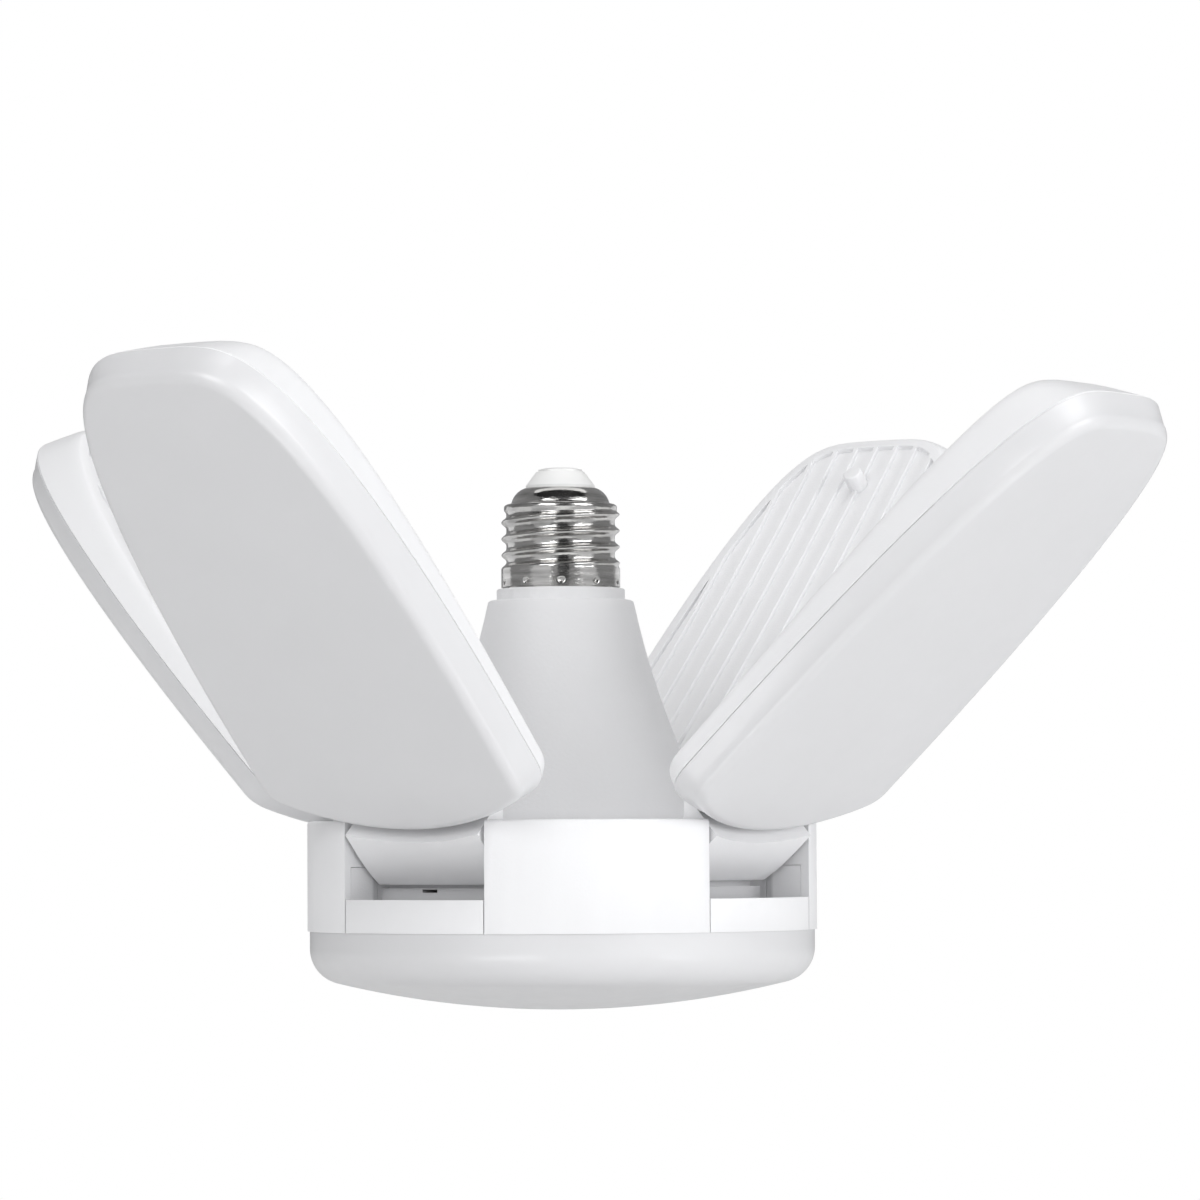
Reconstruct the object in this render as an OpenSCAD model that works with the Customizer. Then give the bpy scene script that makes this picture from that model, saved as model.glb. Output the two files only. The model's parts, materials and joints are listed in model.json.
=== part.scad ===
// Screw-in ceiling lamp with four folding light panels.
// Origin: centre of the lower rim of the screw cap. +Z points up into the lamp holder.

/* [Screw cap] */
// Radius over the crests of the cap thread
thread_r = 13.2; // [12.8:0.05:13.4]
// Depth of the rolled thread
thread_depth = 1.1; // [0.7:0.05:1.2]
// Pitch of the thread
thread_pitch = 3.63; // [3.2:0.01:4]
// Number of thread turns
thread_turns = 3.6; // [3:0.2:4]
// Radius of the plain skirt below the thread
skirt_r = 13.25; // [13.1:0.05:13.6]
// Height of the plain skirt
skirt_h = 4.8; // [4:0.1:6]
// Inside radius of the cap shell
cap_bore_r = 11.5; // [11:0.1:11.6]
// Height of the rounded shoulder above the thread
cap_shoulder_h = 4.6; // [4:0.1:6]
// Radius of the insulator where it leaves the shell
insulator_r = 7.7; // [7:0.1:8.4]
// Height of the insulating cone above the shell
insulator_h = 3.7; // [3:0.1:5]
// Radius of the centre contact
contact_r = 4.9; // [4:0.1:5.2]
// Height of the centre contact
contact_h = 0.9; // [0.6:0.1:1.5]

/* [Neck] */
// Height from the cap's rim down to the top of the hub
neck_h = 51.5; // [45:0.5:60]
// Radius of the collar under the cap
collar_r = 14.3; // [13.8:0.1:15.5]
// Height of the collar
collar_h = 2.6; // [2:0.1:4]
// Radius of the neck's shoulder
shoulder_r = 16.4; // [16:0.1:18]
// Step from the wall behind a recess in to the neck's foot
foot_step = 2; // [1.6:0.1:4]
// Wall of the neck
neck_wall = 2; // [1.6:0.1:2.4]

/* [Hub] */
// Radius of the hub
hub_r = 56.6; // [55:0.2:60]
// Height of the hub
hub_h = 24.3; // [23.5:0.1:28]
// Wall of the hub
hub_wall = 2.2; // [1.8:0.1:2.6]
// Thickness of the hub's top plate
hub_top_t = 2.5; // [2:0.1:3.2]
// Width of the recess for a panel's hinge arm
recess_w = 38; // [34:0.5:40]
// Height of the lip in front of a recess
lip_h = 7.2; // [5:0.1:8.5]
// Height of the ears in the side walls of a recess
ear_h = 14.1; // [11:0.1:15]
// Width of an ear
ear_w = 9; // [6:0.5:10]
// Thickness of the step at the foot of a recess's back wall
step_t = 2.6; // [1:0.1:3]
// Height of that step above the hub's lower edge
step_h = 9.6; // [8:0.1:9.8]
// Thickness of the base ring's plate
base_t = 2; // [1.6:0.1:3]

/* [Main light] */
// Step from the hub's side in to the rim of the domed diffuser
dome_step = 0.5; // [0.2:0.1:1]
// Depth of the domed diffuser
dome_depth = 17.6; // [14:0.2:24]
// Corner radius of the dome
dome_corner_r = 7.9; // [5:0.1:10]
// Wall of the diffusers
diffuser_wall = 1.5; // [1.2:0.1:1.8]
// Thickness of the main LED board
main_board_t = 1.6; // [1.2:0.1:2]

/* [Hinges] */
// Distance of a hinge axis inside the hub's side
hinge_in = 8.6; // [8.1:0.1:9.1]
// Height of a hinge axis above the hub's lower edge
hinge_h = 18; // [17:0.1:18.5]
// Radius of a hinge pin
pin_r = 1.25; // [1:0.05:1.4]
// Running clearance round a hinge pin
pin_play = 0.06; // [0.04:0.01:0.1]
// Length of the flap behind a hinge pin
flap_len = 9.8; // [8:0.1:10.2]
// Distance from a hinge axis to the arm's underside
arm_under = 2.4; // [2.2:0.1:2.8]
// Thickness of a friction washer
washer_t = 0.7; // [0.4:0.1:1]
// Radius of a friction washer
washer_r = 2.2; // [1.8:0.1:2.3]
// Gap between parts that move past each other
gap = 0.3; // [0.2:0.05:0.4]

/* [Panels] */
// Length of a panel
blade_len = 130.5; // [110:0.5:150]
// Greatest width of a panel
blade_w = 74; // [66:0.5:75]
// Distance from the hinge axis to the panel's near end
blade_start = 4.6; // [4.4:0.1:8]
// Height of the parting plane above the hinge axis
blade_rise = 5; // [4.6:0.1:5.6]
// Radius of the arched near end
near_arc_r = 70; // [55:1:120]
// Length of the rounding at a near corner
near_corner = 5; // [4:0.5:10]
// Distance from the near end at which the panel starts to narrow
taper_from = 29; // [20:1:50]
// Depth of the panel shell at its near end
shell_near_d = 4.2; // [4:0.1:4.8]
// Depth of the panel shell at its far end
shell_far_d = 11.6; // [8:0.1:13]
// How far the shell's sides lean in, per unit of depth
shell_draft = 0.28; // [0.2:0.02:0.4]
// Extra lean of the shell's far end
far_rake = 4; // [1:0.5:6]
// Wall of the panel shell
shell_wall = 1.6; // [1.4:0.1:1.8]
// Depth of the milky cover of a panel
cover_d = 7; // [5:0.1:7.5]
// How far the cover's sides lean in, per unit of depth
cover_draft = 0.4; // [0.2:0.02:0.5]
// Radius of the cover's edge
cover_edge_r = 2.6; // [1.5:0.1:3.5]
// Thickness of a panel's LED board
panel_board_t = 1.2; // [1:0.1:1.3]
// Number of fins on a panel's back, an odd number
fin_count = 11; // [7:2:13]
// Distance between two fins
fin_pitch = 5.8; // [4.8:0.1:6]
// Width of a fin
fin_w = 1.2; // [0.8:0.1:1.8]
// Height of the fins
fin_h = 0.9; // [0.6:0.1:1]
// Smooth margin round the fins
fin_margin = 3; // [2:0.1:5]
// Radius of a peg
peg_r = 2.4; // [1.8:0.1:3]
// Height of a peg
peg_h = 3.6; // [2:0.1:5]

/* [Rest folds] */
// Fold of the front panel, up from lying flat
fold_front = 46.6; // [0:0.1:90]
// Fold of the right panel
fold_right = 41.7; // [0:0.1:90]
// Fold of the back panel
fold_back = 43.2; // [0:0.1:90]
// Fold of the left panel
fold_left = 43.9; // [0:0.1:90]

/* [Boards] */
// Length of an LED
led_l = 3.5; // [2.8:0.1:4]
// Width of an LED
led_w = 2.8; // [2:0.1:3]
// Height of an LED
led_h = 0.7; // [0.5:0.1:0.8]
// LEDs along a panel
led_rows = 7; // [4:1:8]
// LEDs across a panel
led_columns = 3; // [2:1:4]
// LEDs on the outer circle of the main board
main_ring_leds = 20; // [12:1:28]
// Width of the driver board
driver_w = 24; // [20:0.5:26]
// Height of the driver board
driver_h = 40; // [30:1:42]
// Thickness of the driver board
driver_t = 1.6; // [1.2:0.1:2]
// Radius of the capacitor
capacitor_r = 5; // [4:0.1:6]
// Length of the capacitor
capacitor_l = 11; // [8:0.5:12]
// Width of the transformer
transformer_w = 14; // [10:0.5:16]

/* [Screws] */
// Radius of a screw's thread
screw_r = 1.2; // [1:0.05:1.4]
// Radius of a screw's head
screw_head_r = 2.2; // [1.8:0.1:2.4]
// Height of a screw's head
screw_head_h = 1.1; // [0.8:0.1:1.2]
// Distance of the neck's screws inside its foot
neck_screw_in = 7; // [6.6:0.1:8]
// Distance of the base ring's screws inside the hub's side
base_screw_in = 11.6; // [10:0.1:12.6]

/* [Hidden] */

$fn = 96;
tiny = 0.01;

// Levels of the fixed parts, measured from the cap's rim
hub_top_z = -neck_h;
hub_low_z = hub_top_z - hub_h;
hinge_z = hub_low_z + hinge_h;
thread_top_z = skirt_h + thread_pitch * thread_turns;
cap_top_z = thread_top_z + cap_shoulder_h;
plate_low_z = hub_low_z + main_board_t;
plate_top_z = plate_low_z + base_t;

// Radii that follow the hub's. The back wall of a recess is clear of the flap at every fold.
flap_clear = 0.5;
hinge_r = hub_r - hinge_in;
recess_back = hinge_r - flap_len - flap_clear;
neck_foot_r = recess_back - hub_wall - foot_step;
neck_screw_circle_r = neck_foot_r - neck_screw_in;
base_screw_circle_r = hub_r - base_screw_in;
dome_r = hub_r - dome_step;
ear_front_x = sqrt(hub_r * hub_r - recess_w * recess_w / 4) - hub_wall;

// The blocks of the hub stand on the diagonals, between the recesses
block_angles = [45, 135, 225, 315];
recess_angles = [0, 90, 180, 270];

// Levels of a panel lying flat, measured from its hinge axis
shell_z = blade_rise;
ledge_z = shell_z + panel_board_t + led_h + 0.1;
board_z = ledge_z - panel_board_t;
half_w = blade_w / 2;

// ---- Outline of a panel ----

function near_x(y) = near_arc_r - sqrt(near_arc_r * near_arc_r - y * y);

function bezier(a, b, c, t) = a * (1 - t) * (1 - t) + b * 2 * t * (1 - t) + c * t * t;

arc_steps = 4;
corner_steps = 4;
far_steps = 10;
arc_end_y = half_w - near_corner;
corner_tip = [near_x(half_w), half_w];
corner_end = [corner_tip.x + near_corner, half_w];

// Half of the outline, from the middle of the near end to the middle of the far end.
// The far end is a superellipse: (x/a)^2 + (y/b)^4 = 1.
half_outline = concat(
    [for (i = [0:arc_steps]) let (y = arc_end_y * i / arc_steps) [near_x(y), y]],
    [for (i = [1:corner_steps])
        bezier([near_x(arc_end_y), arc_end_y], corner_tip, corner_end, i / corner_steps)],
    [for (i = [0:far_steps])
        let (w = 90 * (1 - pow(1 - i / far_steps, 2)))
        [taper_from + (blade_len - taper_from) * sin(w), half_w * sqrt(max(0, cos(w)))]]
);
half_count = len(half_outline);
outline = concat(
    half_outline,
    [for (i = [half_count - 2:-1:1]) [half_outline[i].x, -half_outline[i].y]]
);
outline_count = len(outline);

function outward(i) =
    let (a = outline[(i + outline_count - 1) % outline_count])
    let (b = outline[(i + 1) % outline_count])
    let (d = (b - a) / norm(b - a))
    [-d.y, d.x];

// Share of the panel's length at x, from 0 at the near end to 1 at the far end
function along(x) = max(0, min(1, x / blade_len));

// The far half leans back by the rake
function raked(p, rake) = [p.x - rake * max(0, 2 * along(p.x) - 1), p.y];

function inset_outline(k, rake = 0) =
    [for (i = [0:outline_count - 1]) raked(outline[i] - outward(i) * k, rake) + [blade_start, 0]];

// Depth of the shell at a distance x from the hinge axis
function shell_depth(x) =
    shell_near_d + (shell_far_d - shell_near_d) * pow(along(x - blade_start), 2);

function flat_ring(k, z) = [for (p = inset_outline(k)) [p.x, p.y, z]];

// A ring on the shell at a share of its depth, set in by the draft and by k, lowered by drop
function back_ring(share, k, drop) =
    [for (i = [0:outline_count - 1])
        let (full = shell_depth(outline[i].x + blade_start))
        let (p = raked(outline[i] - outward(i) * (shell_draft * share * full + k), far_rake * share))
        let (x = p.x + blade_start)
        [x, p.y, shell_z + share * shell_depth(x) - drop]];

// Closed solid through rings of equal count that follow the panel's outline, lowest ring first.
// The two ends are closed by strips across the panel, so they may follow a curve along it.
module loft(rings) {
    n = len(rings[0]);
    last = (len(rings) - 1) * n;
    sides = [
        for (r = [0:len(rings) - 2]) for (i = [0:n - 1])
            let (a = r * n + i)
            let (b = r * n + (i + 1) % n)
            for (t = [[a, b, b + n], [a, b + n, a + n]]) t
    ];
    strips = [
        for (i = [0:n / 2 - 1])
            for (t = [[i, i + 1, n - i - 1], [i, n - i - 1, (n - i) % n]])
                if (t[0] != t[2] && t[1] != t[2]) t
    ];
    top = [for (t = strips) [last + t[0], last + t[1], last + t[2]]];
    low = [for (t = strips) [t[2], t[1], t[0]]];
    polyhedron(points = [for (r = rings) each r], faces = concat(sides, top, low), convexity = 6);
}

// ---- Places ----

module on_panel(azimuth, fold) {
    rotate([0, 0, azimuth])
        translate([hinge_r, 0, hinge_z])
            rotate([0, -fold, 0])
                children();
}

module front_place() { on_panel(-90, fold_front) children(); }
module right_place() { on_panel(0, fold_right) children(); }
module back_place() { on_panel(90, fold_back) children(); }
module left_place() { on_panel(180, fold_left) children(); }

module at_each(angles, radius) {
    for (a = angles) rotate([0, 0, a]) translate([radius, 0, 0]) children();
}

module screw(length) {
    cylinder(r = screw_r, h = length, $fn = 24);
    translate([0, 0, -screw_head_h]) cylinder(r = screw_head_r, h = screw_head_h, $fn = 24);
}

// ---- Screw cap ----

seat_depth = 3;
stem_r = 1.5;
insulator_top_r = 5.4;

module contact_button() {
    dome_rise = contact_h * 0.45;
    color("silver") translate([0, 0, cap_top_z + insulator_h]) {
        rotate_extrude() polygon([
            [0, 0], [contact_r, 0], [contact_r, contact_h - dome_rise],
            [contact_r * 0.72, contact_h - dome_rise * 0.3], [0, contact_h]
        ]);
        translate([0, 0, -insulator_h - 1]) cylinder(r = stem_r, h = insulator_h + 1 + tiny);
    }
}

module cap_insulator() {
    flange_r = insulator_r + 1.6;
    color("white") rotate_extrude() polygon([
        [stem_r, cap_top_z - seat_depth],
        [flange_r, cap_top_z - seat_depth],
        [flange_r, cap_top_z - seat_depth + 1],
        [insulator_r, cap_top_z - 1],
        [insulator_r, cap_top_z + 0.6],
        [insulator_top_r, cap_top_z + insulator_h],
        [stem_r, cap_top_z + insulator_h]
    ]);
}

// Rounded shoulder of the cap, from radius a at its foot to radius b at its top
function shoulder_curve(a, b, z0, h) =
    [for (w = [0:15:90]) [b + (a - b) * cos(w), z0 + h * sin(w)]];

module thread() {
    crest = thread_depth / 2;
    core = thread_r - thread_depth / 2;
    turn = thread_turns * 360;
    slices = round(thread_turns * 14);
    translate([0, 0, skirt_h])
        linear_extrude(height = thread_pitch * thread_turns, twist = -turn, slices = slices, $fn = 28)
            translate([crest, 0]) circle(r = core);
}

module screw_shell() {
    foot_r = thread_r - thread_depth;
    lip_r = insulator_r + 0.5;
    color("silver") difference() {
        union() {
            cylinder(r = skirt_r, h = skirt_h);
            thread();
            rotate_extrude() polygon(concat(
                [[0, thread_top_z - tiny], [foot_r, thread_top_z - tiny]],
                shoulder_curve(foot_r, lip_r, thread_top_z, cap_shoulder_h),
                [[0, cap_top_z]]
            ));
        }
        translate([0, 0, -tiny]) cylinder(r = cap_bore_r, h = thread_top_z - 1);
        translate([0, 0, thread_top_z - 1 - 2 * tiny])
            cylinder(r = insulator_r + 1.6, h = cap_shoulder_h + 1 - seat_depth + 1 + 2 * tiny);
        cap_insulator();
        cylinder(r = insulator_r, h = cap_top_z + tiny);
    }
}

// ---- Neck ----

spigot_h = 9;
spigot_wall = 2;
flare_steps = 12;
flare_top_z = -collar_h - 1;

// Radius of the neck's flare at a share t of its height, from the shoulder down to the foot
function flare_r(t) = shoulder_r + (neck_foot_r - shoulder_r) * (0.6 * t + 0.4 * t * t);

function flare_curve(inset) =
    [for (i = [0:flare_steps])
        let (t = i / flare_steps)
        [flare_r(t) - inset, flare_top_z + (hub_top_z - flare_top_z) * t]];

module neck_inside() {
    rotate_extrude() polygon(concat(
        [[0, flare_top_z - neck_wall]],
        [for (p = flare_curve(neck_wall)) if (p.y < flare_top_z - neck_wall) p],
        [[neck_foot_r - neck_wall, hub_top_z - tiny], [0, hub_top_z - tiny]]
    ));
}

module board_rails() {
    rail_w = 5;
    slot_w = driver_t + 2 * gap;
    intersection() {
        rotate_extrude() polygon(concat([[0, flare_top_z]], flare_curve(neck_wall / 2), [[0, hub_top_z]]));
        difference() {
            for (s = [-1, 1]) translate([s * (driver_w / 2 + 1.5 + rail_w), 0, hub_top_z + driver_h / 2])
                cube([2 * rail_w + 6, rail_w, driver_h], center = true);
            translate([0, 0, hub_top_z + driver_h / 2])
                cube([driver_w + 2 * gap, slot_w, driver_h + 1], center = true);
        }
    }
}

module neck_housing() {
    boss_h = 8;
    spigot_r = cap_bore_r - 0.15;
    wall_top_z = flare_top_z - neck_wall;
    color("whitesmoke") difference() {
        union() {
            difference() {
                rotate_extrude() polygon(concat(
                    [
                        [spigot_r - spigot_wall, spigot_h], [spigot_r, spigot_h], [spigot_r, 0],
                        [collar_r - 0.3, 0], [collar_r, -0.3], [collar_r, -collar_h],
                        [shoulder_r - 0.7, -collar_h], [shoulder_r - 0.2, -collar_h - 0.3]
                    ],
                    flare_curve(0),
                    [[0, hub_top_z], [0, wall_top_z], [spigot_r - spigot_wall, wall_top_z]]
                ));
                neck_inside();
            }
            board_rails();
            at_each(block_angles, neck_screw_circle_r)
                translate([0, 0, hub_top_z]) cylinder(r = 2.6, h = boss_h, $fn = 32);
        }
        at_each(block_angles, neck_screw_circle_r)
            translate([0, 0, hub_top_z - tiny]) cylinder(r = screw_r, h = boss_h - 1, $fn = 24);
    }
}

module driver_board() {
    color("darkgreen") translate([-driver_w / 2, -driver_t / 2, hub_top_z])
        cube([driver_w, driver_t, driver_h]);
}

module filter_capacitor() {
    color("dimgray") translate([0, driver_t / 2, hub_top_z + driver_h * 0.62])
        rotate([-90, 0, 0]) cylinder(r = capacitor_r, h = capacitor_l);
}

module transformer() {
    coil_w = transformer_w - 4;
    core_t = 3;
    color("goldenrod") translate([0, driver_t / 2, hub_top_z + driver_h * 0.26]) {
        for (s = [-1, 1]) translate([-transformer_w / 2, 0, s * (coil_w / 2) - core_t / 2])
            cube([transformer_w, coil_w, core_t]);
        translate([-coil_w / 2, 0, -coil_w / 2]) cube([coil_w, coil_w, coil_w]);
    }
}

module neck_screws() {
    color("gray") at_each(block_angles, neck_screw_circle_r)
        translate([0, 0, hub_top_z - hub_top_t]) screw(hub_top_t + neck_screw_hold);
}

// ---- Hub ----

wire_hole_r = 6;
wall_foot_z = plate_top_z + 0.2;
wall_foot_h = hub_top_z - wall_foot_z;
post_r = 3.2;
post_h = hub_top_z - hub_top_t - plate_top_z + tiny;
edge_r = 0.6;
neck_screw_hold = 6;
base_screw_hold = 8;

module recess_space(w, back) {
    translate([back, -w / 2, hub_low_z - 1]) cube([hub_r, w, hub_h + 2]);
}

module recess_walls() {
    outer_w = recess_w + 2 * hub_wall;
    difference() {
        translate([recess_back - hub_wall, -outer_w / 2, wall_foot_z])
            cube([hub_r, outer_w, wall_foot_h]);
        difference() {
            recess_space(recess_w, recess_back);
            translate([recess_back - 1, -recess_w / 2 - 1, hub_low_z - 2])
                cube([step_t + 1, recess_w + 2, step_h + 2]);
        }
    }
}

// Lower y of a recess's side wall, on side s
function wall_low_y(s) = s * (recess_w + hub_wall) / 2 - hub_wall / 2;

// Slots in the recess walls that the ears of the base ring fill
module ear_slots(clear) {
    for (s = [-1, 1])
        translate([ear_front_x - ear_w - clear, wall_low_y(s) - tiny, hub_low_z - 1])
            cube([ear_w + 2 * clear, hub_wall + 2 * tiny, ear_h + 1 + clear]);
}

module wire_slot() {
    slot_w = 4.1;
    slot_h = 0.7;
    slot_y = -5.8;
    slot_z = 8.6;
    translate([recess_back - hub_wall - 1, slot_y - slot_w / 2, hub_low_z + slot_z])
        cube([hub_wall + step_t + 2, slot_w, slot_h]);
}

module pin_bores() {
    translate([hinge_r, 0, hinge_z]) rotate([90, 0, 0])
        cylinder(r = pin_r + pin_play, h = recess_w + 2 * hub_wall + 1, center = true);
}

module hub_housing() {
    inner_r = hub_r - hub_wall;
    color("white") difference() {
        union() {
            difference() {
                rotate_extrude() polygon([
                    [inner_r, hub_low_z], [hub_r, hub_low_z], [hub_r, hub_top_z - edge_r],
                    [hub_r - edge_r * 0.3, hub_top_z - edge_r * 0.3], [hub_r - edge_r, hub_top_z],
                    [wire_hole_r, hub_top_z], [wire_hole_r, hub_top_z - hub_top_t],
                    [inner_r, hub_top_z - hub_top_t]
                ]);
                at_each(recess_angles, 0) recess_space(recess_w, recess_back);
            }
            intersection() {
                translate([0, 0, hub_low_z]) cylinder(r = inner_r + tiny, h = hub_h - edge_r);
                at_each(recess_angles, 0) recess_walls();
            }
            at_each(block_angles, base_screw_circle_r)
                translate([0, 0, plate_top_z]) cylinder(r = post_r, h = post_h);
        }
        at_each(recess_angles, 0) {
            ear_slots(0.1);
            wire_slot();
            pin_bores();
        }
        at_each(block_angles, neck_screw_circle_r)
            translate([0, 0, hub_top_z - hub_top_t - tiny])
                cylinder(r = screw_r + 0.2, h = hub_top_t + 1, $fn = 24);
        at_each(block_angles, base_screw_circle_r)
            translate([0, 0, plate_top_z - tiny]) cylinder(r = screw_r, h = base_screw_hold + 2, $fn = 24);
    }
}

module lip() {
    lip_w = recess_w - 2 * gap;
    intersection() {
        translate([0, 0, hub_low_z]) difference() {
            cylinder(r = hub_r, h = lip_h);
            translate([0, 0, -1]) cylinder(r = hub_r - hub_wall, h = lip_h + 2);
        }
        recess_space(lip_w, recess_back);
    }
    intersection() {
        translate([0, 0, plate_low_z]) cylinder(r = hub_r - tiny, h = base_t);
        recess_space(lip_w, recess_back);
    }
}

module ears() {
    for (s = [-1, 1])
        translate([ear_front_x - ear_w, wall_low_y(s), plate_low_z])
            cube([ear_w, hub_wall, hub_low_z + ear_h - plate_low_z]);
}

module base_ring() {
    plate_r = hub_r - hub_wall - gap;
    color("white") difference() {
        union() {
            translate([0, 0, plate_low_z]) cylinder(r = plate_r, h = base_t);
            at_each(recess_angles, 0) {
                lip();
                ears();
            }
        }
        translate([0, 0, plate_low_z - 1]) cylinder(r = wire_hole_r, h = base_t + 2);
        at_each(block_angles, base_screw_circle_r)
            translate([0, 0, plate_low_z - 1]) cylinder(r = screw_r + 0.2, h = base_t + 2, $fn = 24);
    }
}

module base_screws() {
    color("gray") at_each(block_angles, base_screw_circle_r)
        translate([0, 0, plate_low_z]) screw(base_t + base_screw_hold);
}

// ---- Main light ----

main_board_r = dome_r - diffuser_wall - 2.4;

module main_led_board() {
    color("silver") translate([0, 0, hub_low_z]) difference() {
        cylinder(r = main_board_r, h = main_board_t);
        translate([0, 0, -1]) cylinder(r = 3, h = main_board_t + 2);
        at_each(block_angles, base_screw_circle_r)
            translate([0, 0, -1]) cylinder(r = screw_head_r + 0.3, h = main_board_t + 2, $fn = 24);
    }
}

module main_leds() {
    inner_leds = round(main_ring_leds / 2);
    color("khaki") for (ring = [[main_ring_leds, 0.82], [inner_leds, 0.42]])
        for (i = [0:ring[0] - 1])
            rotate([0, 0, 360 * (i + 0.5) / ring[0]])
                translate([main_board_r * ring[1] - led_w / 2, -led_l / 2, hub_low_z - led_h])
                    cube([led_w, led_l, led_h]);
}

// Half profile of the dome: straight rim, round corner, shallow crown, set in by k
crown_r = 210;
crown_lean = 13.4;

function dome_curve(k) =
    let (corner_r = dome_corner_r - k)
    let (centre_r = dome_r - dome_corner_r)
    let (end_r = centre_r + corner_r * sin(crown_lean))
    let (crown_rise = (crown_r - k) - sqrt(pow(crown_r - k, 2) - end_r * end_r))
    let (floor_z = hub_low_z - dome_depth + k)
    let (centre_z = floor_z + crown_rise + corner_r * cos(crown_lean))
    concat(
        [for (i = [0:6]) let (w = (90 - crown_lean) * i / 6)
            [centre_r + corner_r * cos(w), centre_z - corner_r * sin(w)]],
        [for (i = [5:-1:0]) let (r = end_r * i / 6)
            [r, floor_z + (crown_r - k) - sqrt(pow(crown_r - k, 2) - r * r)]]
    );

module main_diffuser() {
    tongue_r = hub_r - hub_wall - gap;
    tongue_h = main_board_t - 0.1;
    color("gainsboro") rotate_extrude() polygon(concat(
        [
            [tongue_r - 1.2, hub_low_z + tongue_h], [tongue_r, hub_low_z + tongue_h],
            [tongue_r, hub_low_z], [dome_r, hub_low_z]
        ],
        dome_curve(0),
        [for (i = [len(dome_curve(diffuser_wall)) - 1:-1:0]) dome_curve(diffuser_wall)[i]],
        [[dome_r - diffuser_wall, hub_low_z - 2], [tongue_r - 1.2, hub_low_z - 2]]
    ));
}

// ---- Panels ----

arm_w = recess_w - 2 * (washer_t + gap);
under_bend = 0.0095;
under_from = 1.5;
flap_tip_r = 1.1;
arm_top = 6.4;
peg_places = [0.17, 0.83];
screw_places = [[0.14, 0.55], [0.14, -0.55], [0.48, 0.34], [0.48, -0.34], [0.93, 0]];
screw_bite = 0.9;
boss_r = 2.6;
tongue_in = shell_wall + 0.15;
tongue_w = 0.9;
board_in = tongue_in + tongue_w + 0.3;

module at_panel_screws() {
    for (p = screw_places) translate([blade_start + blade_len * p[0], half_w * p[1], 0]) children();
}

// Height of the arm's underside: flat in front of the pin, bent up behind it
function under_z(x) = -arm_under + under_bend * pow(max(0, under_from - x), 2);

// Side view of the arm: bent underside, round tip of the flap, flat top, ending inside the shell
module arm_body() {
    reach = blade_start + near_x(arm_w / 2) + 4;
    top_z = shell_z + shell_near_d * 0.9;
    tip_x = flap_tip_r - flap_len;
    tip_z = under_z(tip_x) + flap_tip_r;
    rotate([90, 0, 0]) translate([0, 0, -arm_w / 2]) linear_extrude(height = arm_w) polygon(concat(
        [[reach, -arm_under]],
        [for (i = [0:5]) let (x = under_from + (tip_x - under_from) * i / 5) [x, under_z(x)]],
        [for (w = [-120:-30:-240]) [tip_x + flap_tip_r * cos(w), tip_z + flap_tip_r * sin(w)]],
        [
            [tip_x, tip_z + flap_tip_r], [-4.4, 1.7], [-3.2, 4.4], [-1.2, arm_top - 0.3], [0, arm_top],
            [blade_start - 1.6, arm_top], [blade_start + 0.6, top_z], [reach, top_z]
        ]
    ));
}

// Space of the cover and of what it meets at the arm's end
module cover_space(clear) {
    translate([0, 0, -cover_d * 3]) linear_extrude(height = shell_z + cover_d * 3)
        polygon(inset_outline(-clear));
}

module fin_field() {
    difference() {
        loft([back_ring(1, fin_margin, fin_h), back_ring(1, fin_margin, -2)]);
        for (i = [0:fin_count - 1])
            translate([blade_start, (i - (fin_count - 1) / 2) * fin_pitch - fin_w / 2, 0])
                cube([blade_len, fin_w, shell_z + shell_far_d * 2]);
    }
}

module shell_inside() {
    deep = shell_wall + fin_h;
    translate([0, 0, shell_z - tiny]) linear_extrude(height = ledge_z - shell_z + tiny)
        polygon(inset_outline(shell_wall));
    roof = [for (p = back_ring(1, shell_wall + 2, deep)) [p.x, p.y, max(p.z, ledge_z + 0.4)]];
    intersection() {
        loft([flat_ring(board_in + 1.4, ledge_z - tiny), roof]);
        translate([blade_start + blade_len * 0.4, -half_w, 0])
            cube([blade_len, blade_w, shell_z + shell_far_d]);
    }
}

module panel_shell() {
    edge = 0.8;
    difference() {
        union() {
            loft([flat_ring(0, shell_z), back_ring(0.72, 0, 0), back_ring(1, edge, 0)]);
            difference() {
                arm_body();
                cover_space(gap);
            }
            for (s = peg_places) {
                x = blade_start + blade_len * s;
                translate([x, 0, shell_z + 2])
                    cylinder(r = peg_r, h = shell_depth(x) - 2 + peg_h, $fn = 32);
            }
        }
        fin_cut();
        difference() {
            shell_inside();
            translate([0, 0, ledge_z]) at_panel_screws() cylinder(r = boss_r, h = shell_far_d, $fn = 32);
        }
        translate([0, 0, shell_z - 1]) at_panel_screws()
            cylinder(r = screw_r, h = ledge_z - shell_z + 1 + screw_bite + 0.1, $fn = 24);
        rotate([90, 0, 0]) cylinder(r = pin_r + 0.02, h = arm_w + 2, center = true);
    }
}

// The fins' field, less the foot of each peg
module fin_cut() {
    difference() {
        fin_field();
        for (s = peg_places)
            translate([blade_start + blade_len * s, 0, 0])
                cylinder(r = peg_r, h = shell_z + shell_far_d + peg_h, $fn = 32);
    }
}

module panel_led_board() {
    color("silver") difference() {
        translate([0, 0, board_z]) linear_extrude(height = panel_board_t)
            polygon(inset_outline(board_in));
        translate([0, 0, board_z - 1]) at_panel_screws()
            cylinder(r = screw_r + 0.2, h = panel_board_t + 2, $fn = 24);
    }
}

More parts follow.
